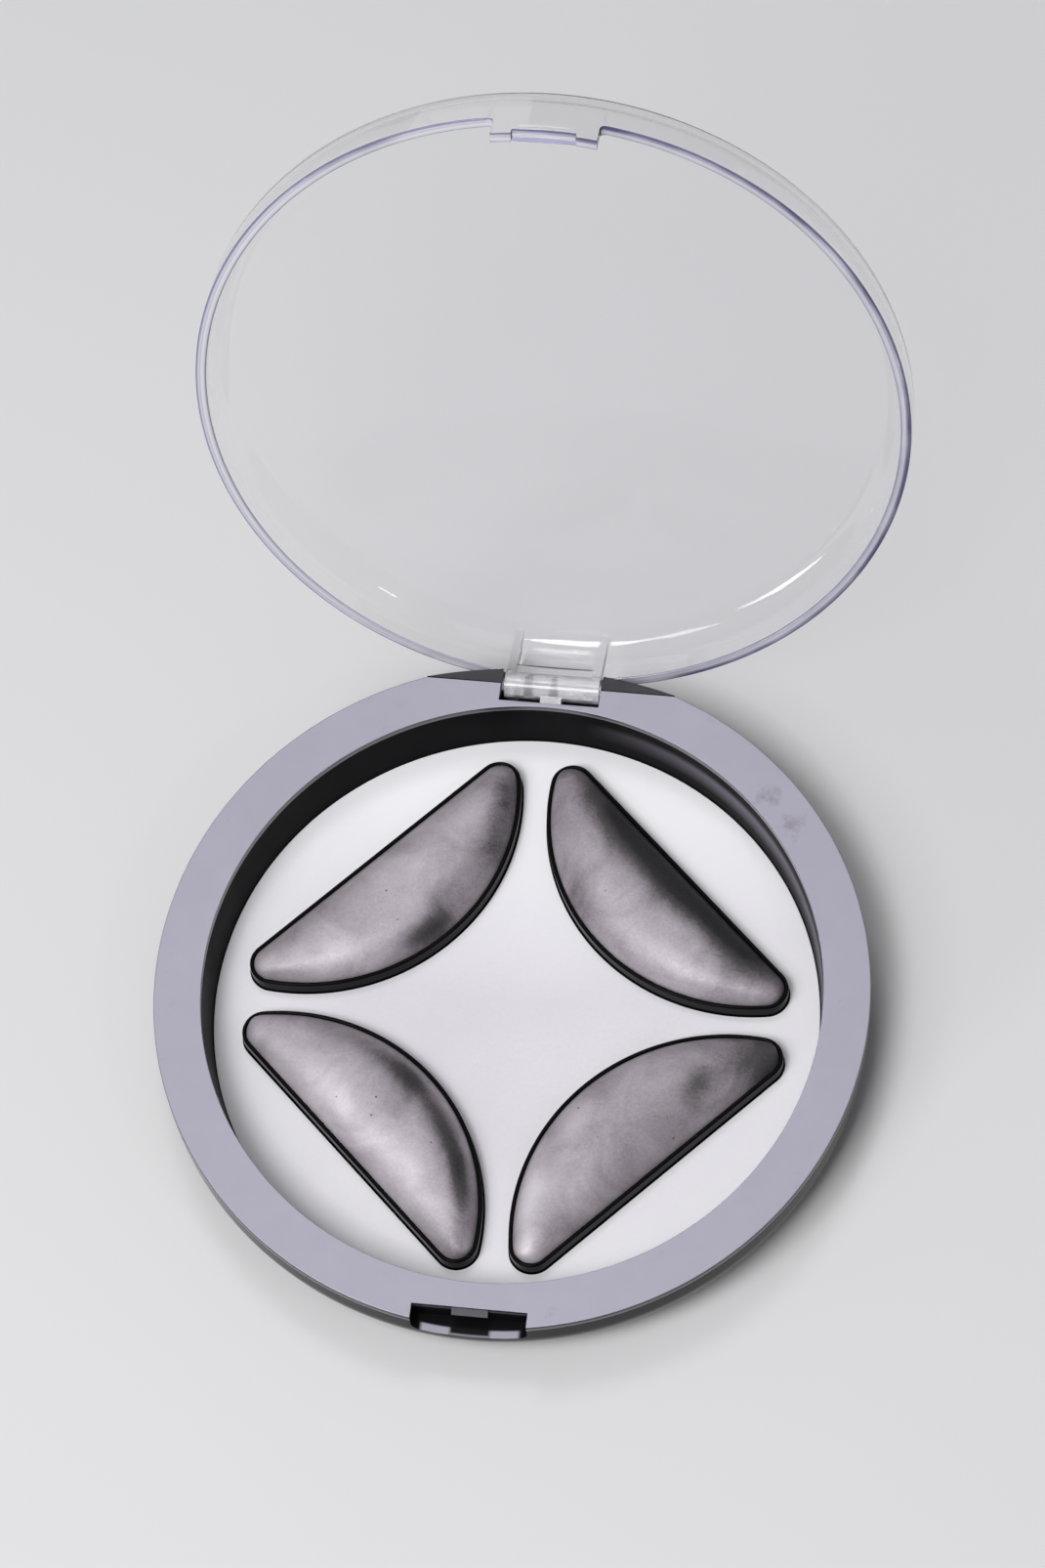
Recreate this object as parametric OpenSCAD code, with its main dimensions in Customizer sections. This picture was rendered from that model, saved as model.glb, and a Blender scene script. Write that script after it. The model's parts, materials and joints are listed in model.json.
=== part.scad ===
// Round cosmetic palette compact: a black moulded base with a lilac-grey deck ring, a white card
// with four raised half-moon pans of domed powder, and a clear lid that flips up on a moulded hinge.
// Origin: centre of the flat underside. +X runs along the hinge axis, +Y to the hinge, -Y to the latch, +Z up.
// The lid is modelled closed and then turned back by open_angle to its open stop.

/* [Base] */
// Outer diameter of the base and of the deck ring
base_d = 80; // [76:1:90]
// Height of the base from the table to the top of the deck
base_h = 10; // [9.5:0.5:13]
// Radius of the rounded lower edge
base_round = 7; // [4:0.5:8]
// Thickness of the floor
floor_t = 1.4; // [1:0.1:2]
// Thickness of the outer wall
wall_t = 1.3; // [1:0.1:1.6]
// Thickness of the wall round the well
well_wall_t = 1; // [0.8:0.1:1.3]
// How much the well narrows in radius from its mouth to its floor
well_draft = 0.5; // [0.2:0.1:0.8]

/* [Deck ring] */
// Width of the deck from the rim to the mouth of the well
deck_w = 5.3; // [5.1:0.1:6]
// Thickness of the deck ring
deck_t = 1; // [0.8:0.1:1.3]
// Bevel along the ring's upper edges
deck_bevel = 0.2; // [0.1:0.05:0.3]
// Height of the locating rib under the ring
rib_h = 1.2; // [0.8:0.1:2]
// Thickness of that rib
rib_t = 0.8; // [0.6:0.1:1]
// Gap round the rib and at the ring's straight rear edge
rib_gap = 0.1; // [0.05:0.05:0.2]

/* [Latch] */
// Width of the latch recess
latch_w = 12.8; // [11:0.2:15]
// Depth of the recess inwards from the rim
latch_in = 2.3; // [2:0.1:2.6]
// Depth of the recess below the top of the deck
latch_d = 3.05; // [2.8:0.05:3.6]
// Radius between the floor and the sides of the recess
latch_round = 0.9; // [0.6:0.1:1]
// Width of the catch in the recess
catch_w = 4; // [3:0.2:5]
// How far the catch stands out from the recess wall
catch_out = 0.6; // [0.4:0.05:0.7]
// Depth of the catch's upper end below the deck
catch_top = 0.35; // [0.2:0.05:0.5]
// Depth of the catch's flat underside below the deck
catch_low = 1.35; // [1.2:0.05:1.5]
// Width of each leg of the lid's latch tab
leg_w = 2.3; // [1.8:0.1:2.6]
// Length of the legs below the lid's rim
leg_h = 2.8; // [2.5:0.05:2.85]
// Height of the bar between the legs, below the lid's rim
bar_h = 2.1; // [1.9:0.05:2.3]
// Gap between the tab and the sides of the recess
tab_side_gap = 0.65; // [0.5:0.05:0.8]
// Radius between the lid's rim and each side of the tab
tab_round = 0.5; // [0.3:0.05:0.5]
// How far the bead on the bar reaches under the catch
bead_bite = 0.25; // [0.1:0.05:0.3]
// Height of that bead
bead_h = 0.45; // [0.3:0.05:0.6]

/* [Hinge] */
// Distance of the hinge axis in from the rim of the base
axis_in = 1.85; // [1.75:0.05:2.05]
// Depth of the hinge axis below the top of the deck
axis_down = 2.1; // [2:0.05:2.3]
// Width of the hinge notch
notch_w = 11.4; // [10:0.2:14]
// Depth of the notch inwards from the rim
notch_in = 4.8; // [4.6:0.05:4.9]
// Depth of the notch below the top of the deck
notch_d = 5.6; // [5.3:0.1:6]
// Where the rear bevel starts, inwards from the rim
land_in = 2.6; // [2.2:0.1:2.8]
// Slope of the rear bevel in degrees
land_slope = 26.5; // [20:0.5:30]
// Gap between the lid's tongue and each side of the notch
tongue_gap = 0.3; // [0.15:0.05:0.4]
// Radius of the barrel at the tongue's end
barrel_r = 1.5; // [1.3:0.05:1.6]
// Radius of the trunnions
trunnion_r = 0.75; // [0.6:0.05:0.85]
// Length of each trunnion
trunnion_l = 1.6; // [1.2:0.1:2]
// Radial running clearance of the trunnions in their bores
trunnion_gap = 0.05; // [0.03:0.01:0.08]
// Clearance past the end of each trunnion
trunnion_end_gap = 0.2; // [0.1:0.05:0.3]
// Thickness of the two side ribs that carry the barrel
cheek_t = 1; // [0.8:0.1:1.3]
// Width of the nib in the middle of the barrel
nib_w = 2.4; // [1.8:0.2:3]
// Gap between the nib and the notch wall with the lid open
nib_gap = 0.15; // [0.1:0.05:0.3]
// Angle that the lid opens from closed
open_angle = 114; // [100:1:114]

/* [Lid] */
// How far the lid's wall stands in from the rim of the base
lid_in = 0.2; // [0.1:0.05:0.4]
// Gap between the closed lid's rim and the deck
lid_gap = 0.2; // [0.1:0.05:0.3]
// Height of the lid from its rim to its top
lid_h = 7; // [6:0.25:9]
// Radius of the rounded upper edge
lid_round = 3.6; // [2.4:0.2:4]
// Thickness of the lid's wall
lid_wall = 1.2; // [1:0.05:1.3]
// Thickness of the lid's top
lid_top = 1.2; // [1:0.1:1.5]

/* [Insert card] */
// Thickness of the card
card_t = 0.6; // [0.4:0.1:1]
// Gap between the card and the foot of the well's wall
card_gap = 0.1; // [0.05:0.05:0.3]
// Gap between each cut-out and its pan
cutout_gap = 0.15; // [0.1:0.05:0.3]
// Turn of the glued-in card and pans about the middle
insert_turn = 2; // [0:0.5:4]

/* [Pans and powder] */
// Distance from the foot of the well's wall to each pan's straight side
pan_margin = 9; // [8:0.1:10]
// Width of a pan across its middle
pan_w = 13.25; // [11:0.25:14]
// Radius of the rounded tips
pan_tip_r = 2.5; // [2:0.1:3]
// Gap between the tips of neighbouring pans
pan_gap = 3.4; // [3:0.2:6]
// Height of a pan
pan_h = 2.5; // [2:0.1:3]
// Thickness of a pan's wall
pan_wall = 0.45; // [0.35:0.05:0.7]
// Thickness of a pan's floor
pan_floor = 0.4; // [0.3:0.05:0.6]
// Thickness of the glue pad under a pan
pad_t = 0.2; // [0.1:0.05:0.3]
// How far the pad stays inside the pan's outline
pad_inset = 1.8; // [1:0.1:2.2]
// Gap between the powder and the pan's wall
cake_gap = 0.03; // [0.02:0.01:0.1]
// Depth of the powder's edge below the pan's rim
cake_sink = 0.25; // [0.1:0.05:0.5]
// Rise of the dome above its edge
cake_crown = 2.7; // [1.5:0.1:3.2]

/* [Hidden] */
$fn = 96;
eps = 0.01;
far = 2 * base_d;

base_r = base_d / 2;
seat_z = base_h - deck_t;
well_r = base_r - deck_w;
well_floor_r = well_r - well_draft;

// Latch: the recess wall is a plane across -Y
latch_y = base_r - latch_in;
tab_w = latch_w - 2 * tab_side_gap;
bar_w = tab_w - 2 * leg_w;

// Hinge
axis_y = base_r - axis_in;
axis_z = base_h - axis_down;
notch_y = base_r - notch_in;
land_y = base_r - land_in;
land_half = sqrt(base_r * base_r - land_y * land_y);
block_half = land_half + wall_t;
tongue_w = notch_w - 2 * tongue_gap;
nib_reach = axis_y - notch_y - nib_gap;
nib_t = 1.2;

// Lid, closed
lid_r = base_r - lid_in;
rim_z = base_h + lid_gap;
lid_top_z = rim_z + lid_h;
cheek_y = axis_y - barrel_r;

// Insert: heights of what stands on the floor
card_z = floor_t;
pan_z = floor_t + pad_t;
pan_rim_z = pan_z + pan_h;
powder_z = pan_z + pan_floor;

// Outline of a pan. Its straight side faces outwards and its arc faces the middle. The tips are
// round, and tip_u puts them pan_gap away from the neighbouring pan's tips.
chord_x = well_floor_r - pan_margin;
tip_u = chord_x - pan_tip_r - sqrt(2) * (pan_tip_r + pan_gap / 2);
tip_q = pan_w - pan_tip_r;
arc_r = (tip_u * tip_u + tip_q * tip_q - pan_tip_r * pan_tip_r) / (2 * (tip_q - pan_tip_r));
arc_v = pan_w - arc_r;

PLACES = [45, 135, 225, 315];
DARK = [0.07, 0.07, 0.08];
LILAC = [0.66, 0.65, 0.72];
PEARL = [0.62, 0.60, 0.62];
CLEAR = [0.86, 0.87, 0.95, 0.35];

// Right half of an upright section whose lower outer corner is rounded
module round_half_section(r, h, round_r) {
    square([r - round_r, h]);
    translate([0, round_r]) square([r, h - round_r]);
    translate([r - round_r, round_r]) circle(round_r);
}

// Half section of the base without its channel
module solid_base_section() {
    difference() {
        intersection() {
            round_half_section(base_r, base_h, base_round);
            square([far, base_h]);
        }
        polygon([[-eps, floor_t], [well_floor_r, floor_t], [well_r, seat_z],
                 [well_r, base_h + 1], [-eps, base_h + 1]]);
    }
}

// Half section of the channel between the outer wall and the well's wall
module channel_section() {
    intersection() {
        translate([0, wall_t]) round_half_section(base_r - wall_t, base_h, base_round - wall_t);
        polygon([[well_floor_r + well_wall_t, floor_t], [well_r + well_wall_t, seat_z],
                 [well_r + well_wall_t, base_h], [far, base_h], [far, floor_t]]);
    }
}

// Everything behind the rear bevel's plane, which falls away towards the rim
module above_land() {
    translate([-far / 2, land_y, base_h])
        rotate([-land_slope, 0, 0])
            translate([0, -far / 2, 0]) cube([far, far, far]);
}

// Block at the rear that fills the channel from chord to chord and rises behind the ring
module hinge_block() {
    difference() {
        intersection() {
            rotate_extrude($fn = 180) solid_base_section();
            translate([-block_half, 0, floor_t]) cube([2 * block_half, far, far]);
        }
        translate([-far / 2, 0, seat_z]) cube([far, land_y, far]);
        above_land();
    }
}

// Block at the front that the latch recess is cut in
module latch_block() {
    half = latch_w / 2 + wall_t;
    intersection() {
        rotate_extrude($fn = 180) solid_base_section();
        translate([-half, -far, floor_t]) cube([2 * half, far, seat_z - floor_t]);
    }
}

// Extrudes a shape drawn in X and Z towards the front, from the plane y = -start
module to_front(start) {
    translate([0, -start, 0]) rotate([90, 0, 0]) linear_extrude(far - start) children();
}

// Space of the latch recess, open to the front and the top, with rounded lower corners
module latch_recess() {
    to_front(latch_y)
        translate([0, base_h - latch_d])
            for (side = [0, 1])
                mirror([side, 0]) round_half_section(latch_w / 2, base_h, latch_round);
}

// Space of the hinge notch, open to the rear and the top
module hinge_notch() {
    translate([-notch_w / 2, notch_y, base_h - notch_d]) cube([notch_w, far, far]);
}

// Ramp with a flat underside that the lid's bead snaps under
module catch_ramp() {
    translate([-catch_w / 2, -latch_y, 0])
        rotate([90, 0, 90])
            linear_extrude(catch_w)
                polygon([[eps, base_h - catch_top], [-catch_out, base_h - catch_low + 0.25],
                         [-catch_out, base_h - catch_low], [eps, base_h - catch_low]]);
}

// Cylinder along the hinge axis, centred on the part
module along_axis(r, length) {
    translate([-length / 2, axis_y, axis_z]) rotate([0, 90, 0]) cylinder(r = r, h = length, $fn = 48);
}

module base_shell() {
    color(DARK) {
        difference() {
            union() {
                rotate_extrude($fn = 180)
                    difference() {
                        intersection() {
                            solid_base_section();
                            square([far, seat_z]);
                        }
                        channel_section();
                    }
                hinge_block();
                latch_block();
            }
            hinge_notch();
            along_axis(trunnion_r + trunnion_gap, tongue_w + 2 * (trunnion_l + trunnion_end_gap));
            latch_recess();
        }
        catch_ramp();
    }
}

module deck_ring() {
    inner_rib_r = well_r + well_wall_t + rib_gap;
    boss_half = latch_w / 2 + wall_t + rib_gap;
    color(LILAC)
        difference() {
            union() {
                rotate_extrude($fn = 180)
                    polygon([[well_r, seat_z], [base_r, seat_z], [base_r, base_h - deck_bevel],
                             [base_r - deck_bevel, base_h], [well_r + deck_bevel / 2, base_h],
                             [well_r, base_h - deck_bevel / 2]]);
                difference() {
                    rotate_extrude($fn = 180)
                        translate([inner_rib_r, seat_z - rib_h]) square([rib_t, rib_h + eps]);
                    translate([-block_half - rib_gap, 0, 0])
                        cube([2 * (block_half + rib_gap), far, seat_z]);
                    translate([-boss_half, -far, 0]) cube([2 * boss_half, far, seat_z]);
                }
            }
            translate([-far / 2, land_y - rib_gap, 0]) cube([far, far, far]);
            hinge_notch();
            latch_recess();
        }
}

// Outline of a pan, moved inwards by inset: u runs along its length as Y, and v inwards as -X
module half_moon(inset = 0) {
    reach = arc_r - inset;
    small = pan_tip_r - inset;
    lean = [tip_u, pan_tip_r - arc_v] / (arc_r - pan_tip_r);
    mirror([1, 0]) {
        intersection() {
            translate([arc_v, 0]) circle(reach, $fn = 180);
            polygon([[inset, -tip_u], [pan_tip_r, -tip_u],
                     [pan_tip_r + far * lean[1], -tip_u - far * lean[0]],
                     [pan_tip_r + far * lean[1], tip_u + far * lean[0]],
                     [pan_tip_r, tip_u], [inset, tip_u]]);
        }
        for (side = [-1, 1]) translate([pan_tip_r, side * tip_u]) circle(small, $fn = 48);
    }
}

// Turns a pan's own frame to its place on the card
module at_place(angle) {
    rotate([0, 0, angle + insert_turn]) translate([chord_x, 0, 0]) children();
}

module insert_card() {
    color("white")
        translate([0, 0, card_z])
            linear_extrude(card_t)
                difference() {
                    circle(well_floor_r - card_gap, $fn = 180);
                    for (angle = PLACES) at_place(angle) half_moon(-cutout_gap);
                }
}

module glue_pad(angle) {
    color("ivory")
        at_place(angle) translate([0, 0, floor_t]) linear_extrude(pad_t) half_moon(pad_inset);
}

module pan(angle) {
    color(DARK)
        at_place(angle)
            translate([0, 0, pan_z])
                difference() {
                    linear_extrude(pan_h) half_moon();
                    translate([0, 0, pan_floor]) linear_extrude(pan_h) half_moon(pan_wall);
                }
}

// Lower and upper side of the pan's outline at u, moved inwards by inset
function tip_half(u, inset) =
    sqrt(max(0, pow(pan_tip_r - inset, 2) - pow(abs(u) - tip_u, 2)));
function v_low(u, inset) = abs(u) <= tip_u ? inset : pan_tip_r - tip_half(u, inset);
function v_high(u, inset) =
    abs(u) <= tip_u * (arc_r - inset) / (arc_r - pan_tip_r)
        ? arc_v + sqrt(pow(arc_r - inset, 2) - u * u)
        : pan_tip_r + tip_half(u, inset);

// Domed powder, lofted from cross-sections along its length. Each section rises from its two edges
// to a crown, which falls towards the tips as the section narrows.
module powder(angle) {
    stations = 32;
    across = 10;
    inset = pan_wall + cake_gap;
    half_l = tip_u + pan_tip_r - inset;
    edge_z = pan_rim_z - cake_sink;
    full_w = v_high(0, inset) - v_low(0, inset);
    us = [for (k = [1 : stations - 1]) half_l * sin(180 * k / stations - 90)];
    row = across + 1;
    top = [for (u = us)
        let (low = v_low(u, inset), high = v_high(u, inset),
             crown = cake_crown * pow((high - low) / full_w, 0.6))
        for (j = [0 : across])
            let (s = sin(180 * j / across - 90))
            [-(low + high) / 2 - s * (high - low) / 2, u,
             edge_z + crown * pow(max(0, 1 - pow(abs(s), 2.4)), 0.75)]];
    under = [for (u = us) each [[-v_low(u, inset), u, powder_z], [-v_high(u, inset), u, powder_z]]];
    ends = [for (side = [-1, 1]) each [[-pan_tip_r, side * half_l, edge_z],
                                       [-pan_tip_r, side * half_l, powder_z]]];
    last = stations - 2;
    u0 = len(top);
    e0 = u0 + len(under);
    faces = concat(
        [for (k = [0 : last - 1], j = [0 : across - 1])
            let (a = k * row + j)
            each [[a, a + 1, a + row], [a + 1, a + row + 1, a + row]]],
        [for (j = [0 : across - 1]) each [[e0, j + 1, j],
                                          [e0 + 2, last * row + j, last * row + j + 1]]],
        [for (k = [0 : last - 1])
            let (a = k * row, b = u0 + 2 * k)
            each [[a, a + row, b], [a + row, b + 2, b],
                  [a + across, b + 1, a + row + across], [a + row + across, b + 1, b + 3],
                  [b, b + 2, b + 1], [b + 1, b + 2, b + 3]]],
        [[e0, 0, e0 + 1], [0, u0, e0 + 1], [e0, e0 + 1, across], [across, e0 + 1, u0 + 1],
         [e0 + 1, u0, u0 + 1]],
        let (a = last * row, b = u0 + 2 * last)
        [[e0 + 2, e0 + 3, a], [a, e0 + 3, b], [e0 + 2, a + across, e0 + 3],
         [a + across, b + 1, e0 + 3], [e0 + 3, b + 1, b]]);
    color(PEARL) at_place(angle) polyhedron(points = concat(top, under, ends), faces = faces);
}

// Solid that the lid would be if it were full, reaching down past its rim
module lid_envelope(below) {
    translate([0, 0, lid_top_z]) mirror([0, 0, 1])
        rotate_extrude($fn = 180) round_half_section(lid_r, lid_h + below, lid_round);
}

// The tab seen from the front, hanging from z = 0: two legs, the bar between them and the rounding
// that leads into the lid's rim on each side
module tab_outline() {
    for (side = [0, 1])
        mirror([side, 0]) {
            translate([bar_w / 2, -leg_h]) square([leg_w, leg_h + eps]);
            difference() {
                translate([tab_w / 2 - eps, -tab_round]) square([tab_round + eps, tab_round + eps]);
                translate([tab_w / 2 + tab_round, -tab_round]) circle(tab_round, $fn = 48);
            }
        }
    translate([-bar_w / 2 - eps, -bar_h]) square([bar_w + 2 * eps, bar_h + eps]);
}

// The lid's wall carried down past the rim as the tab, and the bead that snaps under the catch
module latch_tab() {
    bead_y = latch_y + catch_out - bead_bite;
    intersection() {
        to_front(latch_y) translate([0, rim_z]) tab_outline();
        difference() {
            lid_envelope(leg_h);
            cylinder(r = lid_r - lid_wall, h = lid_top_z, $fn = 180);
        }
    }
    translate([-bar_w / 2, lid_wall / 2 - lid_r, rim_z - bar_h])
        cube([bar_w, lid_r - lid_wall / 2 - bead_y, bead_h]);
}

// What reaches from the lid's rear wall into the notch: a tongue between two side ribs, the barrel,
// its trunnions and the nib that rubs on the notch wall as the lid comes open
module hinge_tongue() {
    intersection() {
        lid_envelope(lid_gap + axis_down);
        union() {
            for (side = [-1, 1])
                translate([side * (tongue_w - cheek_t) / 2 - cheek_t / 2, cheek_y, axis_z])
                    cube([cheek_t, far, lid_top_z - lid_top / 2 - axis_z]);
            translate([-tongue_w / 2, lid_r - 1.5 * lid_wall, axis_z])
                cube([tongue_w, far, rim_z + lid_wall - axis_z]);
        }
    }
    along_axis(barrel_r, tongue_w);
    along_axis(trunnion_r, tongue_w + 2 * trunnion_l);
    translate([0, axis_y, axis_z])
        rotate([open_angle, 0, 0])
            translate([-nib_w / 2, 0, 0]) {
                translate([0, -nib_reach + nib_t / 2, -nib_t / 2])
                    cube([nib_w, nib_reach - nib_t / 2, nib_t]);
                translate([0, -nib_reach + nib_t / 2, 0])
                    rotate([0, 90, 0]) cylinder(d = nib_t, h = nib_w, $fn = 32);
            }
}

module lid() {
    color(CLEAR)
        translate([0, axis_y, axis_z])
            rotate([-open_angle, 0, 0])
                translate([0, -axis_y, -axis_z]) {
                    difference() {
                        lid_envelope(0);
                        translate([0, 0, lid_top_z - lid_top]) mirror([0, 0, 1])
                            rotate_extrude($fn = 180)
                                round_half_section(lid_r - lid_wall, lid_h,
                                                   max(lid_round - lid_wall, 0.5));
                    }
                    latch_tab();
                    hinge_tongue();
                }
}

base_shell();
deck_ring();
insert_card();
pan(PLACES[0]);  // pan_rear_right
pan(PLACES[1]);  // pan_rear_left
pan(PLACES[2]);  // pan_front_left
pan(PLACES[3]);  // pan_front_right
powder(PLACES[0]);  // powder_rear_right
powder(PLACES[1]);  // powder_rear_left
powder(PLACES[2]);  // powder_front_left
powder(PLACES[3]);  // powder_front_right
glue_pad(PLACES[0]);  // glue_pad_rear_right
glue_pad(PLACES[1]);  // glue_pad_rear_left
glue_pad(PLACES[2]);  // glue_pad_front_left
glue_pad(PLACES[3]);  // glue_pad_front_right
lid();
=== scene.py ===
import json
import math

import bmesh
import bpy
from mathutils import Matrix, Vector


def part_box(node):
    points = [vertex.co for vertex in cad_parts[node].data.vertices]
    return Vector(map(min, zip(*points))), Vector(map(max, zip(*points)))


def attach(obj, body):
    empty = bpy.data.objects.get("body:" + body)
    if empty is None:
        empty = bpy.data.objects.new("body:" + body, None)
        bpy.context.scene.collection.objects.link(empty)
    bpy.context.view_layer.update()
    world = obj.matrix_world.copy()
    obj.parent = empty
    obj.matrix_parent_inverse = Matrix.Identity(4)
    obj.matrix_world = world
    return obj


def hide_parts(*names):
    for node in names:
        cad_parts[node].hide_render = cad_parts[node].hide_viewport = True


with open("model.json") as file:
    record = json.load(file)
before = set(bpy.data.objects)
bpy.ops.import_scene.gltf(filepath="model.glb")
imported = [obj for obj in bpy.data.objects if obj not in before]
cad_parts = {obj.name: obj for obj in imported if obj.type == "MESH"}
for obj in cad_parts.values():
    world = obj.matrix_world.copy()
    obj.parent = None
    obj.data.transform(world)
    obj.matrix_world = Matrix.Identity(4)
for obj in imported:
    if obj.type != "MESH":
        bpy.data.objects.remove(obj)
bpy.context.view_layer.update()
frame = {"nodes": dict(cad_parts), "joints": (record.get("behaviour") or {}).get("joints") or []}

# ---------------------------------------------------------------------------------------------
# BASE SHELL. A shallow bowl moulded in gloss black polystyrene. The deep round well holds the
# card and the pans, the rear lip has a bevel and the hinge notch, and the front has the latch
# recess with its catch. It stands flat on the table.
# ---------------------------------------------------------------------------------------------
MM = 0.001
base_r = 40 * MM
base_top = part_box("base_shell")[1][2]
clear_of_rim = base_r * 1.2
base_round = 7 * MM
floor_z = 1.4 * MM
well_r = 34.7 * MM
well_floor_r = 34.2 * MM
well_foot, mouth_round, seat_edge = 0.8 * MM, 0.12 * MM, 0.08 * MM
ring_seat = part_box("deck_ring")[1][2] - 1 * MM
land_y = 37.4 * MM
land_slope, land_root = math.radians(26.5), 0.5 * MM
notch_w, notch_y, notch_d = 11.4 * MM, 35.2 * MM, 5.6 * MM
latch_w, latch_y, latch_d, latch_round = 12.8 * MM, 37.7 * MM, 3.05 * MM, 0.9 * MM
hinge_joint = frame["joints"][0]
hinge_y, hinge_z = hinge_joint["pos_m"][1:]
jet = "#0C0B0D"


def linear(hex_colour):
    """A colour written as sRGB hex, as the linear values that a shader takes."""
    parts = [int(hex_colour[k:k + 2], 16) / 255 for k in (1, 3, 5)]
    return (*(c / 12.92 if c <= 0.04045 else ((c + 0.055) / 1.055) ** 2.4 for c in parts), 1.0)


def wire(node, links):
    """Fills a node's sockets. A node given as a source stands for its first output in use."""
    for socket, source in links.items():
        if isinstance(source, bpy.types.Node):
            source = next(output for output in source.outputs if output.enabled)
        node.id_data.links.new(source, node.inputs[socket])


def set_up(node, settings):
    """Sets a node's properties, or its sockets by name, where text is a colour in hex."""
    for name, value in settings.items():
        if name in node.bl_rna.properties:
            setattr(node, name, value)
        else:
            node.inputs[name.replace("_", " ")].default_value = (
                linear(value) if isinstance(value, str) else value)


def add_node(tree, kind, links=None, stops=(), **settings):
    """Adds one node with its settings, its links and the stops of its colour ramp, if any."""
    made = tree.nodes.new(kind)
    set_up(made, settings)
    wire(made, links or {})
    if stops:
        marks = made.color_ramp.elements
        for position, _ in stops[1:-1]:
            marks.new(position)
        for mark, (position, colour) in zip(marks, stops):
            mark.position, mark.color = position, linear(colour)
    return made


def new_material(name, **settings):
    """Starts a material. Gives it, its tree, its shader with the settings, and the socket that
    holds the place of a point on the piece."""
    material = bpy.data.materials.new(name)
    material.use_nodes = True
    tree = material.node_tree
    shader = tree.nodes["Principled BSDF"]
    set_up(shader, settings)
    return material, tree, shader, add_node(tree, "ShaderNodeTexCoord").outputs["Object"]


def new_object(name, data):
    """Puts a mesh, a curve, a lamp or a camera in the scene."""
    made = bpy.data.objects.new(name, data)
    bpy.context.collection.objects.link(made)
    return made


def from_work(name, work):
    """Makes an object of a working mesh, and frees it."""
    mesh = bpy.data.meshes.new(name)
    work.to_mesh(mesh)
    work.free()
    return new_object(name, mesh)


def arc(centre, radius, first, last, steps):
    """Points of an arc in a section, from one angle in degrees to another."""
    turns = [math.radians(first + (last - first) * k / steps) for k in range(steps + 1)]
    return [(centre[0] + radius * math.cos(t), centre[1] + radius * math.sin(t)) for t in turns]


def line_object(name, points, closed):
    """A poly curve through flat points, used as a path or a section."""
    curve = bpy.data.curves.new(name, "CURVE")
    curve.dimensions = "3D"
    spline = curve.splines.new("POLY")
    spline.points.add(len(points) - 1)
    spline.use_cyclic_u = closed
    for spot, point in zip(spline.points, points):
        spot.co = (*point, 0, 1)
    return new_object(name, curve)


def sweep_tree():
    """Carries a section round a flat path, as a mould's cutter runs round its cavity."""
    tree = bpy.data.node_groups.new("section swept round a path", "GeometryNodeTree")
    for name, kind in (("Path", "NodeSocketObject"), ("Section", "NodeSocketObject"),
                       ("Weld", "NodeSocketFloat"), ("Material", "NodeSocketMaterial")):
        tree.interface.new_socket(name, in_out="INPUT", socket_type=kind)
    tree.interface.new_socket("Mesh", in_out="OUTPUT", socket_type="NodeSocketGeometry")
    given = add_node(tree, "NodeGroupInput")
    path = add_node(tree, "GeometryNodeObjectInfo", {"Object": given.outputs["Path"]})
    section = add_node(tree, "GeometryNodeObjectInfo", {"Object": given.outputs["Section"]})
    upright = add_node(tree, "GeometryNodeSetCurveNormal", {"Curve": path.outputs["Geometry"]},
                       mode="Z_UP")
    swept = add_node(tree, "GeometryNodeCurveToMesh",
                     {"Curve": upright, "Profile Curve": section.outputs["Geometry"]})
    welded = add_node(tree, "GeometryNodeMergeByDistance",
                      {"Geometry": swept, "Distance": given.outputs["Weld"]})
    real = add_node(tree, "GeometryNodeRealizeInstances", {0: welded})
    dressed = add_node(tree, "GeometryNodeSetMaterial",
                       {"Geometry": real, "Material": given.outputs["Material"]})
    add_node(tree, "NodeGroupOutput", {0: dressed})
    return tree


swept_section = sweep_tree()


def bake(piece):
    """Applies what the piece's modifiers do, so that it is a plain mesh."""
    graph = bpy.context.evaluated_depsgraph_get()
    mesh = bpy.data.meshes.new_from_object(piece.evaluated_get(graph))
    piece.modifiers.clear()
    piece.data = mesh


def sweep(name, path, section, material, closed=True):
    """A mesh made by carrying a section (distance outwards, height) round a closed flat path."""
    rail = line_object(name + "_path", path, True)
    cut = line_object(name + "_section", [(x, -z) for x, z in section], closed)
    piece = new_object(name, bpy.data.meshes.new(name))
    maker = piece.modifiers.new("sweep", "NODES")
    maker.node_group = swept_section
    given = {"Path": rail, "Section": cut, "Weld": 0.002 * MM, "Material": material}
    for socket in swept_section.interface.items_tree:
        if socket.in_out == "INPUT":
            maker[socket.identifier] = given[socket.name]
    bake(piece)
    for line in (rail, cut):
        bpy.data.objects.remove(line)
    face_outwards(piece)
    return piece


def face_outwards(piece):
    """Closes doubled points and points every face out of the solid."""
    work = bmesh.new()
    work.from_mesh(piece.data)
    bmesh.ops.remove_doubles(work, verts=work.verts, dist=0.001 * MM)
    bmesh.ops.dissolve_degenerate(work, edges=work.edges, dist=0.001 * MM)
    bmesh.ops.recalc_face_normals(work, faces=work.faces)
    work.to_mesh(piece.data)
    work.free()


def circle(radius, steps):
    """Points of a circle about the middle."""
    return arc((0, 0), radius, 0, 360, steps)[:-1]


def turned(name, section, material, closed=True):
    """A round piece from its section, given as (radius, height)."""
    return sweep(name, circle(base_r, 256), [(r - base_r, z) for r, z in section], material, closed)


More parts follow.
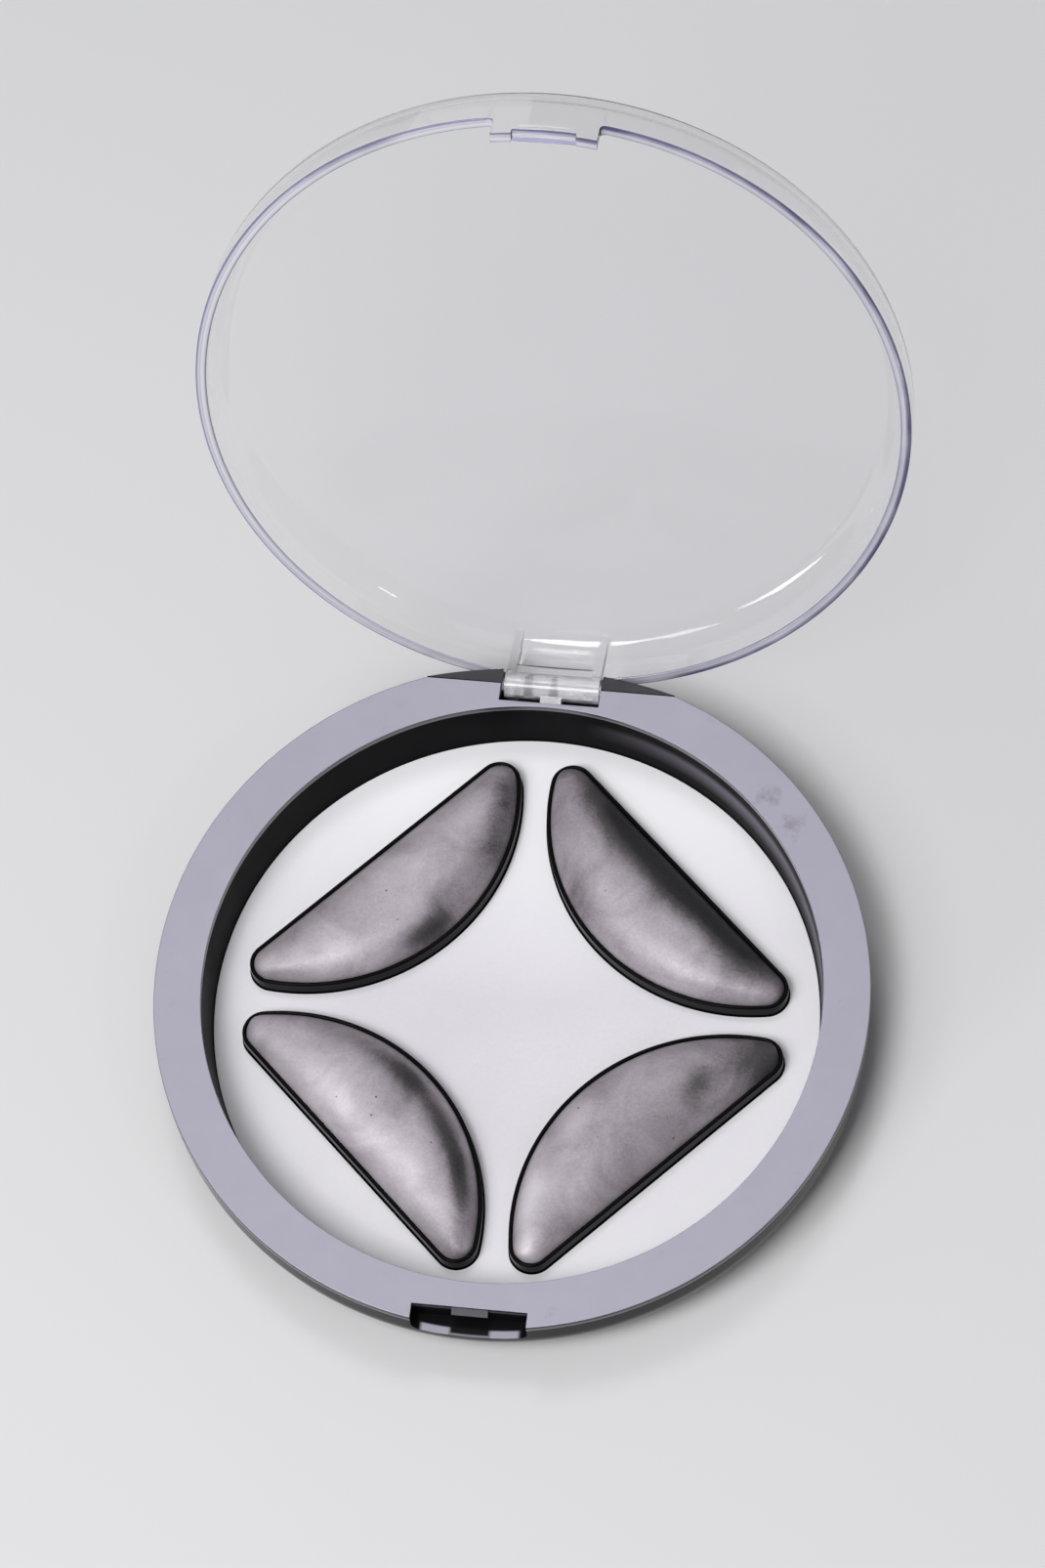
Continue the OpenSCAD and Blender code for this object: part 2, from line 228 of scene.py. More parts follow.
def prism(name, outline, lower, upper, edge=0.0, turn=None):
    """A block over a flat outline, with its edges rounded by edge, and then laid by turn."""
    work = bmesh.new()
    low = [work.verts.new((x, y, lower)) for x, y in outline]
    high = [work.verts.new((x, y, upper)) for x, y in outline]
    work.faces.new(low)
    work.faces.new(high)
    for k in range(len(outline)):
        n = (k + 1) % len(outline)
        work.faces.new((low[k], low[n], high[n], high[k]))
    bmesh.ops.recalc_face_normals(work, faces=work.faces)
    if edge:
        bmesh.ops.bevel(work, geom=work.edges[:], offset=edge, segments=3, profile=0.5,
                        affect="EDGES", clamp_overlap=True)
    if turn:
        bmesh.ops.transform(work, matrix=turn, verts=work.verts)
    return from_work(name, work)


def block(name, low, high, edge=0.0):
    """A box between two corners, with its edges rounded by edge."""
    (x0, y0, z0), (x1, y1, z1) = low, high
    return prism(name, [(x0, y0), (x1, y0), (x1, y1), (x0, y1)], z0, z1, edge)


def join_solids(piece, tools, operation):
    """Adds tools to the piece or cuts them out of it, and deletes them."""
    for tool in tools:
        maker = piece.modifiers.new("solid", "BOOLEAN")
        maker.solver = "EXACT"
        maker.operation = operation
        maker.object = tool
        bake(piece)
        bpy.data.objects.remove(tool)


def soften(piece, width, crease=35):
    """Breaks the sharp edges by width, and shades flat faces flat and round ones round."""
    if width:
        edge = piece.modifiers.new("edge", "BEVEL")
        edge.width = width
        edge.segments = 2
        edge.limit_method = "ANGLE"
        edge.angle_limit = math.radians(crease)
        edge.use_clamp_overlap = True
        bake(piece)
    piece.data.polygons.foreach_set("use_smooth", [True] * len(piece.data.polygons))
    piece.data.set_sharp_from_angle(angle=math.radians(crease))
    shade = piece.modifiers.new("shade", "WEIGHTED_NORMAL")
    shade.keep_sharp = True
    bake(piece)


def black_styrene(name, shine, smooth, dull, colour=jet):
    """Moulded black polystyrene: a hard, slightly wavy reflection, the faint haze that fingers
    leave, and dust, whose specks are drawn 0.35 mm coarse to show. shine is how much the surface
    mirrors, kept low for the pale room, and its roughness drifts from smooth to dull."""
    material, tree, shader, spot = new_material(name, IOR=1.59, Specular_IOR_Level=shine)
    haze = add_node(tree, "ShaderNodeTexNoise", {"Vector": spot}, Scale=1 / (9 * MM), Detail=6.0,
                    Roughness=0.6)
    rough = add_node(tree, "ShaderNodeMapRange", {"Value": haze}, From_Min=0.35, From_Max=0.75,
                     To_Min=smooth, To_Max=dull)
    dust = add_node(tree, "ShaderNodeTexNoise", {"Vector": spot}, Scale=1 / (0.35 * MM), Detail=1.0)
    specks = add_node(tree, "ShaderNodeMapRange", {"Value": dust}, From_Min=0.74, From_Max=0.82,
                      To_Min=0.0, To_Max=0.3)
    tone = add_node(tree, "ShaderNodeMix", {"Factor": specks}, data_type="RGBA", A=colour,
                    B="#4A484F")
    wave = add_node(tree, "ShaderNodeTexNoise", {"Vector": spot}, Scale=1 / (5 * MM), Detail=1.0)
    bump = add_node(tree, "ShaderNodeBump", {"Height": wave}, Strength=0.04, Distance=0.3 * MM)
    wire(shader, {"Base Color": tone, "Roughness": rough, "Normal": bump})
    return material


def paint(material, shown, colour):
    """Lays a paler colour over the black where shown is 1: the painted reflection on the well's
    wall and the painted highlights in the latch recess.
    """
    tree = material.node_tree
    tone = add_node(tree, "ShaderNodeMix", {"Factor": shown}, data_type="RGBA", A=jet, B=colour)
    wire(tree.nodes["Principled BSDF"], {"Base Color": tone})
    return material


def from_axis(tree, apart):
    """How far a point lies from the axis of the compact."""
    flat = add_node(tree, "ShaderNodeCombineXYZ",
                    {"X": apart.outputs["X"], "Y": apart.outputs["Y"]})
    return add_node(tree, "ShaderNodeVectorMath", {0: flat}, operation="LENGTH")


def core_black():
    """The wall of the well: dull black from the core of the mould. A paler band is painted partway
    down its right side, a painted reflection."""
    material = black_styrene("black polystyrene from the core", 0.015, 0.34, 0.46)
    tree = material.node_tree
    spot = add_node(tree, "ShaderNodeTexCoord").outputs["Object"]
    apart = add_node(tree, "ShaderNodeSeparateXYZ", {"Vector": spot})
    side = add_node(tree, "ShaderNodeMapRange", {"Value": apart.outputs["X"]}, From_Min=4 * MM,
                    From_Max=22 * MM)
    depth = base_top - floor_z
    band = add_node(tree, "ShaderNodeMapRange", {"Value": apart.outputs["Z"]},
                    From_Min=base_top - 0.72 * depth, From_Max=base_top - 0.42 * depth)
    above = add_node(tree, "ShaderNodeMapRange", {"Value": apart.outputs["Z"]},
                     From_Min=base_top - 0.26 * depth, From_Max=base_top - 0.38 * depth)
    # Painted reflection: a paler band partway down the wall, on its right side.
    painted_reflection_band = add_node(tree, "ShaderNodeMath", {0: band, 1: above}, operation="MULTIPLY")
    shown = add_node(tree, "ShaderNodeMath", {0: painted_reflection_band, 1: side}, operation="MULTIPLY")
    return paint(material, shown, "#6E6974")


def recess_with_painted_highlights():
    """The latch recess: dull black, with two pale bars painted on its front lip as painted
    highlights, joined by a thinner painted highlight along the very edge."""
    material = black_styrene("black polystyrene with painted highlights on the lip", 0.04, 0.34, 0.46)
    tree = material.node_tree
    spot = add_node(tree, "ShaderNodeTexCoord").outputs["Object"]
    apart = add_node(tree, "ShaderNodeSeparateXYZ", {"Vector": spot})
    reach = from_axis(tree, apart)
    sideways = add_node(tree, "ShaderNodeMath", {0: apart.outputs["X"]}, operation="ABSOLUTE")
    bar = add_node(tree, "ShaderNodeMapRange", {"Value": reach}, From_Min=base_r - 0.95 * MM,
                   From_Max=base_r - 0.75 * MM)
    inner = add_node(tree, "ShaderNodeMapRange", {"Value": sideways}, From_Min=2.0 * MM,
                     From_Max=2.4 * MM)
    outer = add_node(tree, "ShaderNodeMapRange", {"Value": sideways}, From_Min=5.6 * MM,
                     From_Max=5.2 * MM)
    edge = add_node(tree, "ShaderNodeMapRange", {"Value": reach}, From_Min=base_r - 0.35 * MM,
                    From_Max=base_r - 0.2 * MM, To_Max=0.55)
    # Painted highlights: two bars along the front lip and a thin line at its very edge.
    long_bar = add_node(tree, "ShaderNodeMath", {0: bar, 1: inner}, operation="MULTIPLY")
    both = add_node(tree, "ShaderNodeMath", {0: long_bar, 1: edge}, operation="MAXIMUM")
    wear_and_painted_highlight = add_node(tree, "ShaderNodeMath", {0: both, 1: outer}, operation="MULTIPLY")
    return paint(material, wear_and_painted_highlight, "#A19EAB")


shell = turned("base_moulding",
               [(0, 0)] + arc((base_r - base_round, base_round), base_round, -90, 0, 24)
               + [(base_r, ring_seat - seat_edge), (base_r - seat_edge, ring_seat)]
               + arc((well_r + mouth_round, ring_seat - mouth_round), mouth_round, 90, 180, 4)
               + arc((well_floor_r - well_foot, floor_z + well_foot), well_foot, 0, -90, 8)
               + [(0, floor_z)], black_styrene("gloss black polystyrene", 0.06, 0.05, 0.14),
               closed=False)

# The lip behind the ring: level at the chord, then falling to the rim with the bevel's slope.
corner = math.degrees(math.asin(land_y / base_r))
lip = prism("lip", arc((0, 0), base_r, corner, 180 - corner, 48), ring_seat - land_root, base_top)
for spot in lip.data.vertices:
    if spot.co.z > ring_seat:
        spot.co.z = base_top - (spot.co.y - land_y) * math.tan(land_slope)
join_solids(shell, [lip], "UNION")


def notch_tool():
    """The space of the hinge notch."""
    return block("notch", (-notch_w / 2, notch_y, base_top - notch_d),
                 (notch_w / 2, clear_of_rim, base_top * 2))


# Two ways to stand a flat outline up: facing the front, and facing the right.
front = Matrix(((1, 0, 0, 0), (0, 0, -1, 0), (0, 1, 0, 0), (0, 0, 0, 1)))
aside = Matrix(((0, 0, 1, 0), (1, 0, 0, 0), (0, 1, 0, 0), (0, 0, 0, 1)))


def latch_tool():
    """The space of the latch recess, drawn from the front, with rounded lower corners."""
    middle_x, low = latch_w / 2 - latch_round, base_top - latch_d
    outline = (arc((-middle_x, low + latch_round), latch_round, 180, 270, 8)
               + arc((middle_x, low + latch_round), latch_round, -90, 0, 8)
               + [(latch_w / 2, base_top * 2), (-latch_w / 2, base_top * 2)])
    return prism("recess", outline, latch_y, clear_of_rim, turn=front)


def hinge_rod(name, radius, half):
    """A round bar along the hinge axis."""
    lay = Matrix.Translation((0, hinge_y, hinge_z)) @ Matrix.Rotation(math.pi / 2, 4, "Y")
    return prism(name, circle(radius, 40), -half, half, turn=lay)


# The catch: a wedge on the rear wall of the recess, with its slope on top.
catch_face, catch_half, catch_root = 0.6 * MM, 2.0 * MM, 0.1 * MM
slope_high, slope_low, catch_low = -0.35 * MM, -1.1 * MM, -1.35 * MM
catch = prism("catch", [(catch_root, slope_high), (-catch_face, slope_low),
                        (-catch_face, catch_low), (catch_root, catch_low)],
              -catch_half, catch_half, turn=Matrix.Translation((0, -latch_y, base_top)) @ aside)
bore_r, bore_half = 0.8 * MM, 7.2 * MM
join_solids(shell, [notch_tool(), hinge_rod("bores", bore_r, bore_half), latch_tool()],
            "DIFFERENCE")
join_solids(shell, [catch], "UNION")
soften(shell, 0.1 * MM)
for finish in (core_black(),
               # Painted reflection: the catch's top slope is painted grey.
               black_styrene("black polystyrene painted grey on the catch", 0.3, 0.35, 0.5, "#5A565E"),
               recess_with_painted_highlights(),
               # Painted reflection: the bevel is painted a paler grey.
               black_styrene("black polystyrene painted paler on the bevel", 0.5, 0.35, 0.5, "#3A373D")):
    shell.data.materials.append(finish)
sliver, hair, margin, lip_w = 0.02 * MM, 0.05 * MM, 0.1 * MM, 1.5 * MM
for face in shell.data.polygons:
    x, y, z = face.center
    up, rearwards = face.normal.z, face.normal.y
    in_well = math.hypot(x, y) < well_r + sliver and z > floor_z - margin
    # The catch's top slope, painted grey as a painted reflection.
    grain_and_painted_sheen = (up > 0.2 and abs(x) < catch_half + hair
              and -latch_y - catch_face - hair < y < -latch_y - margin
              and base_top + catch_low - hair < z < base_top + slope_high - hair)
    in_recess = (abs(x) < latch_w / 2 + hair and -base_r + hair < y < -latch_y + margin
                 and z > base_top - 1.1 * latch_d
                 and (rearwards > -0.9 or y > -base_r + lip_w))
    on_bevel = y > land_y and z > ring_seat + margin and up > 0.5
    face.material_index = (1 if in_well else 2 if grain_and_painted_sheen else 3 if in_recess
                           else 4 if on_bevel else 0)
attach(shell, "base")
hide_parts("base_shell")

# ---------------------------------------------------------------------------------------------
# DECK RING. The flat rim round the well, moulded in satin polystyrene and pressed on
# to the black shell. Its lilac-grey top is partly its own colour and partly a painted reflection of
# a large light. It stops at the rear bevel and makes way for the hinge and the latch.
# ---------------------------------------------------------------------------------------------
ring_edge = 0.2 * MM
smudge_spots = ((28.9 * MM, 22.6 * MM, base_top), (26.0 * MM, 26.4 * MM, base_top))


def lilac_and_painted_reflection():
    """Satin lilac-grey on the flat top face, partly its own colour and partly a painted reflection,
    with a soft sheen, a few dust marks and two smudges on the right. It thins to black over the
    edge, and a faint grey band lower on the edge is a painted highlight. The satin's own grain is
    finer than the 0.12 mm it is drawn at to show."""
    material, tree, shader, spot = new_material("lilac-grey satin polystyrene, partly a painted reflection", IOR=1.5)
    cloud = add_node(tree, "ShaderNodeTexNoise", {"Vector": spot}, Scale=1 / (14 * MM), Detail=5.0,
                     Roughness=0.65)
    # The lilac-grey tone: partly the ring's own colour, partly a painted reflection.
    tone = add_node(tree, "ShaderNodeMix", {"Factor": cloud}, data_type="RGBA", A="#9D9AAA",
                    B="#A7A4B4")
    rubs = add_node(tree, "ShaderNodeTexNoise", {"Vector": spot}, Scale=1 / (2.2 * MM), Detail=7.0,
                    Roughness=0.75)
    wear_and_painted_highlight = add_node(tree, "ShaderNodeMapRange", {"Value": rubs}, From_Min=0.64, From_Max=0.78,
                    To_Min=0.0, To_Max=0.32)
    marked = add_node(tree, "ShaderNodeMix", {"Factor": wear_and_painted_highlight, "A": tone}, data_type="RGBA",
                      B="#7E7484")
    aways = []
    for smudge in smudge_spots:
        away = add_node(tree, "ShaderNodeVectorMath", {0: spot}, operation="DISTANCE")
        away.inputs[1].default_value = smudge
        aways.append(away)
    nearest = add_node(tree, "ShaderNodeMath", dict(enumerate(aways)), operation="MINIMUM")
    close = add_node(tree, "ShaderNodeMapRange", {"Value": nearest}, From_Min=0.3 * MM,
                     From_Max=3.0 * MM, To_Min=0.20, To_Max=-0.04)
    flecks = add_node(tree, "ShaderNodeTexNoise", {"Vector": spot}, Scale=1 / (2.4 * MM),
                      Detail=6.0, Roughness=0.75)
    caught = add_node(tree, "ShaderNodeMath", {0: flecks, 1: close}, operation="ADD")
    dusty = add_node(tree, "ShaderNodeMapRange", {"Value": caught}, From_Min=0.60, From_Max=0.80,
                     To_Min=0.0, To_Max=0.7)
    smudged = add_node(tree, "ShaderNodeMix", {"Factor": dusty, "A": marked}, data_type="RGBA",
                       B="#7C797F")
    apart = add_node(tree, "ShaderNodeSeparateXYZ", {"Vector": spot})
    top = add_node(tree, "ShaderNodeMapRange", {"Value": apart.outputs["Z"]},
                   From_Min=base_top - 0.10 * MM, From_Max=base_top - 0.03 * MM)
    under = add_node(tree, "ShaderNodeMapRange", {"Value": apart.outputs["Z"]},
                     From_Min=base_top - 0.55 * MM, From_Max=base_top - 0.30 * MM)
    # Painted highlight: a faint grey band on the lower part of the ring's edge, black above it.
    edge = add_node(tree, "ShaderNodeMix", {"Factor": under}, data_type="RGBA", A="#4C4853", B=jet)
    faced = add_node(tree, "ShaderNodeMix", {"Factor": top, "A": edge, "B": smudged},
                     data_type="RGBA")
    sheen = add_node(tree, "ShaderNodeMapRange", {"Value": rubs}, From_Min=0.3, From_Max=0.8,
                     To_Min=0.36, To_Max=0.48)
    rough = add_node(tree, "ShaderNodeMapRange", {"Value": top, "To Max": sheen}, To_Min=0.12)
    grain = add_node(tree, "ShaderNodeTexNoise", {"Vector": spot}, Scale=1 / (0.12 * MM),
                     Detail=2.0)
    bump = add_node(tree, "ShaderNodeBump", {"Height": grain}, Strength=0.08, Distance=0.02 * MM)
    wire(shader, {"Base Color": faced, "Roughness": rough, "Normal": bump})
    return material


ring = turned("deck_moulding",
              [(well_r, ring_seat), (base_r, ring_seat)]
              + arc((base_r - ring_edge, base_top - ring_edge), ring_edge, 0, 90, 4)
              + arc((well_r + ring_edge / 2, base_top - ring_edge / 2), ring_edge / 2, 90, 180, 3),
              lilac_and_painted_reflection())
behind = block("behind", (-base_r, land_y - margin, 0), (base_r, clear_of_rim, base_top * 2))
join_solids(ring, [behind, notch_tool(), latch_tool()], "DIFFERENCE")
soften(ring, 0.06 * MM)
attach(ring, "base")
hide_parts("deck_ring")

# ---------------------------------------------------------------------------------------------
# INSERT CARD. A die-cut disc of smooth white board on the floor of the well, with a half-moon
# opening for each pan. The card and the pans sit turned by two degrees, as they were glued in.
# ---------------------------------------------------------------------------------------------
insert_turn = math.radians(2)
chord_x = 25.2 * MM
pan_w, pan_tip_r, pan_gap = 13.25 * MM, 2.5 * MM, 3.4 * MM
tip_u = chord_x - pan_tip_r - math.sqrt(2) * (pan_tip_r + pan_gap / 2)
tip_q = pan_w - pan_tip_r
arc_r = (tip_u ** 2 + tip_q ** 2 - pan_tip_r ** 2) / (2 * (tip_q - pan_tip_r))
arc_v = pan_w - arc_r
places = {"rear_right": 45, "rear_left": 135, "front_left": 225, "front_right": 315}


def half_moon(inset):
    """The outline of a pan as (inwards, along) points, moved inwards by inset."""
    lean = math.degrees(math.atan2(tip_u, pan_tip_r - arc_v))
    small = pan_tip_r - inset
    straight = [(inset, -tip_u + 2 * tip_u * k / 24) for k in range(1, 24)]
    return (straight + arc((pan_tip_r, tip_u), small, 180, lean, 16)
            + arc((arc_v, 0), arc_r - inset, lean, -lean, 64)[1:-1]
            + arc((pan_tip_r, -tip_u), small, -lean, -180, 16))


def set_in_place(points, degrees):
    """Turns a pan's own (inwards, along, height) points to its place on the card."""
    turn = Matrix.Rotation(math.radians(degrees) + insert_turn, 3, "Z")
    return [turn @ Vector((chord_x - v, u, z)) for v, u, z in points]


def moon_in_place(inset, degrees):
    """A pan's outline in its place on the card, moved inwards by inset."""
    return [(p.x, p.y) for p in set_in_place([(v, u, 0) for v, u in half_moon(inset)], degrees)]


def white_board():
    """Coated solid bleached board: near white, matt, with a faint felt of fibres, drawn 0.5 mm
    coarse to show. It is painted whiter towards the rear and the border, which the light reaches
    less."""
    material, tree, shader, spot = new_material("coated white board", IOR=1.45, Roughness=0.55)
    felt = add_node(tree, "ShaderNodeTexNoise", {"Vector": spot}, Scale=1 / (0.5 * MM), Detail=6.0,
                    Roughness=0.7)
    cloud = add_node(tree, "ShaderNodeTexNoise", {"Vector": spot}, Scale=1 / (12 * MM), Detail=3.0)
    mixed = add_node(tree, "ShaderNodeMath", {0: felt, 1: cloud}, operation="MULTIPLY")
    spread = add_node(tree, "ShaderNodeMapRange", {"Value": mixed}, From_Min=0.12, From_Max=0.42)
    tone = add_node(tree, "ShaderNodeMix", {"Factor": spread}, data_type="RGBA", A="#D8D6DC",
                    B="#E0DEE4")
    apart = add_node(tree, "ShaderNodeSeparateXYZ", {"Vector": spot})
    rear = add_node(tree, "ShaderNodeMapRange", {"Value": apart.outputs["Y"]}, From_Min=2 * MM,
                    From_Max=26 * MM)
    reach = from_axis(tree, apart)
    border = add_node(tree, "ShaderNodeMapRange", {"Value": reach}, From_Min=16 * MM,
                      From_Max=30 * MM, To_Max=0.45)
    # Painted light: whiter towards the rear and the border, to lift the shade there.
    painted_lift = add_node(tree, "ShaderNodeMath", {0: rear, 1: border}, operation="MAXIMUM")
    board = add_node(tree, "ShaderNodeMix", {"Factor": painted_lift, "A": tone}, data_type="RGBA",
                     B="#F4F3F7")
    bump = add_node(tree, "ShaderNodeBump", {"Height": felt}, Strength=0.12, Distance=0.02 * MM)
    wire(shader, {"Base Color": board, "Normal": bump})
    return material


card_low, card_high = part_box("insert_card")[0][2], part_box("insert_card")[1][2]
card_r, card_edge, card_gap = well_floor_r - 0.1 * MM, 0.05 * MM, 0.15 * MM
card = turned("card",
              [(0, card_low), (card_r, card_low), (card_r, card_high - card_edge),
               (card_r - card_edge, card_high), (0, card_high)], white_board(), closed=False)
join_solids(card, [prism("cutout", moon_in_place(-card_gap, angle), 0, base_top)
                   for angle in places.values()], "DIFFERENCE")
soften(card, 0)
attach(card, "base")
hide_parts("insert_card")

# ---------------------------------------------------------------------------------------------
# PANS. Four half-moon trays, vacuum-formed or moulded in gloss black plastic, with thin raised
# walls and a rounded lip. Each stands through its opening in the card on a pad of adhesive.
# ---------------------------------------------------------------------------------------------
pan_wall, pan_floor, lip_r = 0.45 * MM, 0.4 * MM, 0.2 * MM
black_plastic = black_styrene("gloss black tray", 0.02, 0.10, 0.16)
pan_low, pan_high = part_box("pan_rear_right")[0][2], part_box("pan_rear_right")[1][2]
wall_section = ([(0, pan_low), (0, pan_high - lip_r)]
                + arc((-lip_r, pan_high - lip_r), lip_r, 0, 90, 4)
                + arc((lip_r - pan_wall, pan_high - lip_r), lip_r, 90, 180, 4)
                + [(-pan_wall, pan_low)])
for where, angle in places.items():
    tray = sweep("tray_" + where, moon_in_place(0, angle), wall_section, black_plastic)
    bottom = prism("bottom", moon_in_place(pan_wall / 2, angle), pan_low, pan_low + pan_floor)
    join_solids(tray, [bottom], "UNION")
    soften(tray, 0)
    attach(tray, "base")
    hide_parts("pan_" + where)

# ---------------------------------------------------------------------------------------------
# POWDER. Baked pearl powder pressed into each pan and left domed. The silver-lilac pearl
# carries painted shade on its flanks and a few painted highlights, the skin is finely grained, and
# a few dark grains show.
# ---------------------------------------------------------------------------------------------
powder_low, powder_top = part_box("powder_rear_right")[0][2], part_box("powder_rear_right")[1][2]
powder_inset = pan_wall + 0.03 * MM
powder_edge = pan_high - 0.25 * MM
crown = powder_top - powder_edge
cake_half = tip_u + pan_tip_r - powder_inset
ALONG, ACROSS = 120, 48

# How fast the crown sinks towards the tips, and how square and how full its section is.
crown_taper, crown_square, crown_full = 0.6, 2.4, 0.75


def tip_half(u, inset):
    """Half the width of the rounded tip at u."""
    return math.sqrt(max(0.0, (pan_tip_r - inset) ** 2 - (abs(u) - tip_u) ** 2))


def pan_sides(u, inset):
    """The straight side and the curved side of a pan's outline at u."""
    low = inset if abs(u) <= tip_u else pan_tip_r - tip_half(u, inset)
    if abs(u) <= tip_u * (arc_r - inset) / (arc_r - pan_tip_r):
        return low, arc_v + math.sqrt((arc_r - inset) ** 2 - u * u)
    return low, pan_tip_r + tip_half(u, inset)


def dome_points():
    """The domed skin as rows of (inwards, along, height), each row from edge to edge."""
    full = pan_sides(0, powder_inset)[1] - pan_sides(0, powder_inset)[0]
    rows = []
    for k in range(1, ALONG):
        u = cake_half * math.sin(math.pi * k / ALONG - math.pi / 2)
        low, high = pan_sides(u, powder_inset)
        rise = crown * ((high - low) / full) ** crown_taper
        row = []
        for j in range(ACROSS + 1):
            s = math.sin(math.pi * j / ACROSS - math.pi / 2)
            z = powder_edge + rise * max(0.0, 1 - abs(s) ** crown_square) ** crown_full
            row.append(((low + high) / 2 + s * (high - low) / 2, u, z))
        rows.append(row)
    return rows


def pearl_powder():
    """Baked mica powder: a satin skin with a slight metallic sheen. Silver-lilac pearl lies on
    the crown; painted shade darkens the flanks and painted highlights lighten a few places, and
    random clouds shift it darker and lighter. The mica is far finer than the 0.3 mm grain it is
    drawn at to show."""
    material, tree, shader, spot = new_material("baked pearl powder", Metallic=0.15)
    swirl = add_node(tree, "ShaderNodeTexNoise", {"Vector": spot}, Scale=1 / (7 * MM), Detail=5.0,
                     Roughness=0.6, Distortion=0.6)
    # Painted shade and highlights, read from each point of the cake.
    painted_shading_fac = add_node(tree, "ShaderNodeAttribute", attribute_name="painted_shading").outputs["Fac"]
    cloud = add_node(tree, "ShaderNodeMapRange", {"Value": swirl}, From_Min=0.3, From_Max=0.7,
                     To_Min=-0.14, To_Max=0.14)
    depth = add_node(tree, "ShaderNodeMath", {0: painted_shading_fac, 1: cloud}, operation="ADD", use_clamp=True)
    grain = add_node(tree, "ShaderNodeTexNoise", {"Vector": spot}, Scale=1 / (0.3 * MM), Detail=3.0,
                     Roughness=0.7)
    grain_and_painted_sheen = add_node(tree, "ShaderNodeMapRange", {"Value": grain}, From_Min=0.3, From_Max=0.7,
                      To_Min=-0.05, To_Max=0.05)
    mixed = add_node(tree, "ShaderNodeMath", {0: depth, 1: grain_and_painted_sheen}, operation="ADD", use_clamp=True)
    ramp = add_node(tree, "ShaderNodeValToRGB", {"Fac": mixed},
                    ((0.0, "#D8D2D9"), (0.25, "#B8B0B8"), (0.5, "#928A92"), (0.75, "#504C50"),
                     (1.0, "#2A282A")))
    dots = add_node(tree, "ShaderNodeTexVoronoi", {"Vector": spot}, Scale=1 / (3.2 * MM))
    grains = add_node(tree, "ShaderNodeMapRange", {"Value": dots}, From_Min=0.03, From_Max=0.05,
                      To_Min=0.85, To_Max=0.0)
    spotted = add_node(tree, "ShaderNodeMix", {"Factor": grains, "A": ramp}, data_type="RGBA",
                       B="#3A3436")
    rough = add_node(tree, "ShaderNodeMapRange", {"Value": grain}, From_Min=0.2, From_Max=0.8,
                     To_Min=0.42, To_Max=0.58)
    bump = add_node(tree, "ShaderNodeBump", {"Height": grain}, Strength=0.35, Distance=0.06 * MM)
    wire(shader, {"Base Color": spotted, "Roughness": rough, "Normal": bump})
    return material


# Painted shade and painted highlights on each cake, where the light falls away and where it
# reflects: how far along the pan, how far in from its straight side (or its arc), how long and how
# wide, all in millimetres, and how dark (below 0: how light). Elsewhere the cake has the plain
# depth.
CHORD, ARC = 0, 1
plain_depth = 0.40
painted_shading_spots = {
    "rear_right": ((CHORD, 2, 0.4, 13, 3.2, 0.95), (CHORD, -9, 0.2, 9, 2.6, 0.55),
                   (ARC, 4, 1.0, 14, 1.8, 0.16), (ARC, -7, 2.4, 6, 1.2, -0.14)),
    "rear_left": ((ARC, 1.2, 1.0, 3.8, 1.3, 0.50), (ARC, -2.5, 2.8, 3.0, 1.2, 0.20),
                  (ARC, -14, 1.6, 5.0, 2.4, 0.36), (CHORD, 1, 3.0, 12, 2.4, -0.16),
                  (ARC, 12, 2.5, 6, 2.2, -0.16)),
    "front_left": ((ARC, 1, 2.0, 11, 1.3, 0.40), (ARC, 12, 2.2, 5, 1.3, 0.35),
                   (CHORD, 0, 2.6, 13, 2.2, -0.28), (ARC, 2, 0.3, 12, 0.6, -0.12)),
    "front_right": ((CHORD, 16.5, 1.6, 3.6, 3.4, 0.50), (CHORD, 9.0, 3.6, 2.2, 1.4, 0.32),
                    (ARC, -15, 2.0, 6, 3.0, -0.20), (CHORD, 0, 3.0, 14, 3.4, 0.12),
                    (ARC, -13, 1.6, 4.5, 1.6, -0.30), (ARC, -4.0, 2.6, 3.0, 1.6, -0.18)),
}


def painted_shading_at(where, spot):
    """How dark the painted shade is at a spot of the cake, by the painted spots of its pan."""
    local = Matrix.Rotation(-math.radians(places[where]) - insert_turn, 3, "Z") @ spot
    v, u = chord_x - local.x, local.y
    low, high = pan_sides(max(-cake_half, min(cake_half, u)), powder_inset)
    depth = plain_depth
    for side, along, inwards, long, wide, dark in painted_shading_spots[where]:
        off = (high - v if side == ARC else v - low) / MM - inwards
        depth += dark * math.exp(-((u / MM - along) / long) ** 2 - (off / wide) ** 2)
    return depth


